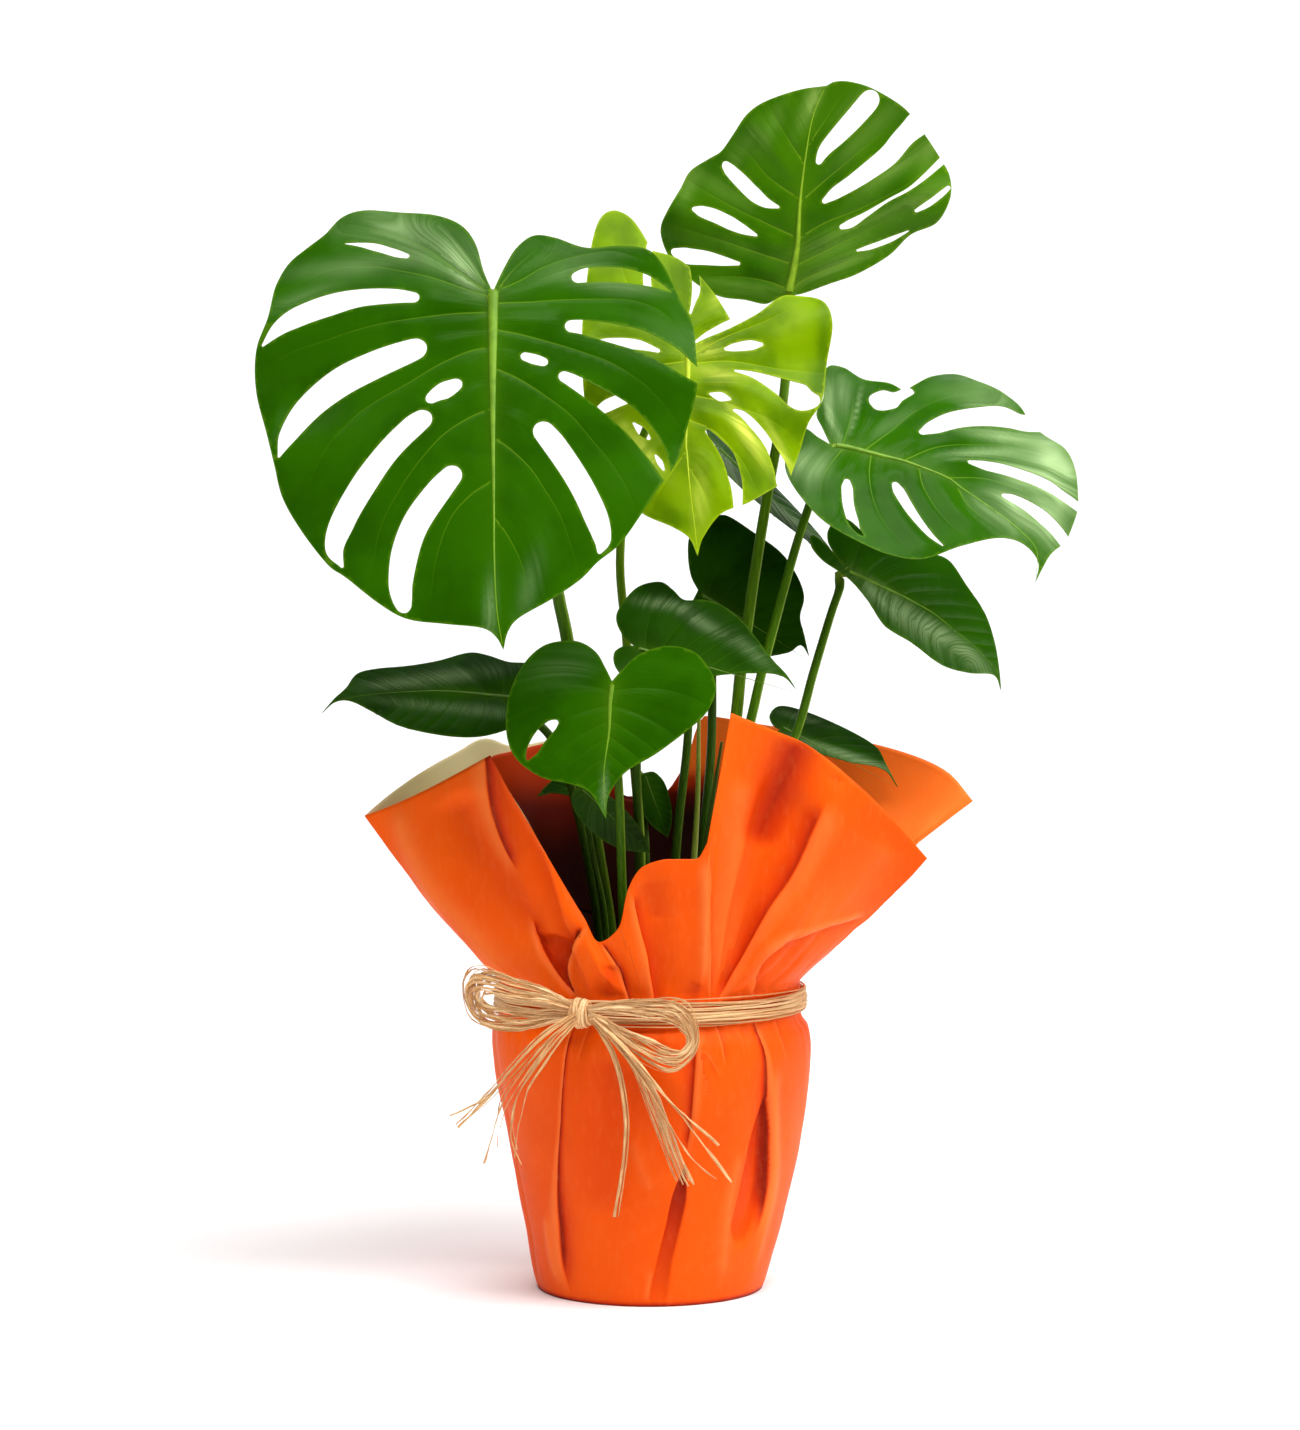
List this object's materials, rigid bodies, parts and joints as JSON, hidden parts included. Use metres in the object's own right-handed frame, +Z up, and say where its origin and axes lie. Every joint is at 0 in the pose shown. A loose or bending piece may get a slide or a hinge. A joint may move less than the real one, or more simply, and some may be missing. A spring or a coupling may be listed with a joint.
{
  "type": "potted plant",
  "caption": "Potted swiss cheese plant with large split and holed leaves on tall stalks, in a pot wrapped in orange paper that is gathered at the neck and tied with a raffia bow.",
  "frame": {"origin": "on the pot's axis, in the plane of the flat base that the wrapped pot stands on", "axes": "+Z up along the pot's axis, +X to the right seen from the front, -Y towards the front, where the bow is"},
  "size_m": [0.5383, 0.2793, 0.797],
  "materials": {
    "leaf_deep": "satin",
    "leaf_dark": "satin",
    "leaf_bright": "satin",
    "leaf_fresh": "satin",
    "stalk_deep": "satin",
    "stalk_dark": "satin",
    "stalk_bright": "satin",
    "stalk_fresh": "satin",
    "stem_bark": "matte",
    "leaf_sheath": "satin",
    "pot_plastic": "matte",
    "potting_soil": "matte",
    "orange_paper": "matte",
    "raffia": "matte"
  },
  "bodies": {
    "root": {"blade_back_right": "leaf_dark", "blade_centre": "leaf_dark", "blade_centre_back": "leaf_dark", "blade_front_left": "leaf_deep", "blade_heart": "leaf_deep", "blade_inner_back": "leaf_dark", "blade_inner_left": "leaf_dark", "blade_inner_low": "leaf_dark", "blade_left": "leaf_dark", "blade_right": "leaf_deep", "blade_right_low": "leaf_deep", "blade_rim_right": "leaf_dark", "blade_top": "leaf_bright", "blade_young": "leaf_fresh", "nursery_pot": "pot_plastic", "paper_wrap": "orange_paper", "petiole_back_right": "stalk_dark", "petiole_centre": "stalk_dark", "petiole_centre_back": "stalk_dark", "petiole_front_left": "stalk_deep", "petiole_heart": "stalk_deep", "petiole_inner_back": "stalk_dark", "petiole_inner_left": "stalk_dark", "petiole_inner_low": "stalk_dark", "petiole_left": "stalk_dark", "petiole_right": "stalk_deep", "petiole_right_low": "stalk_deep", "petiole_rim_right": "stalk_dark", "petiole_top": "stalk_bright", "petiole_young": "stalk_fresh", "raffia_band": "raffia", "raffia_knot": "raffia", "raffia_loop_left": "raffia", "raffia_loop_right": "raffia", "raffia_tail_a": "raffia", "raffia_tail_b": "raffia", "raffia_tail_c": "raffia", "raffia_tail_d": "raffia", "raffia_tail_e": "raffia", "raffia_tail_f": "raffia", "rolled_leaf_dark": "leaf_sheath", "rolled_leaf_pale": "leaf_sheath", "soil": "potting_soil", "stem_a": "stem_bark", "stem_b": "stem_bark", "stem_c": "stem_bark"}
  },
  "joints": []
}
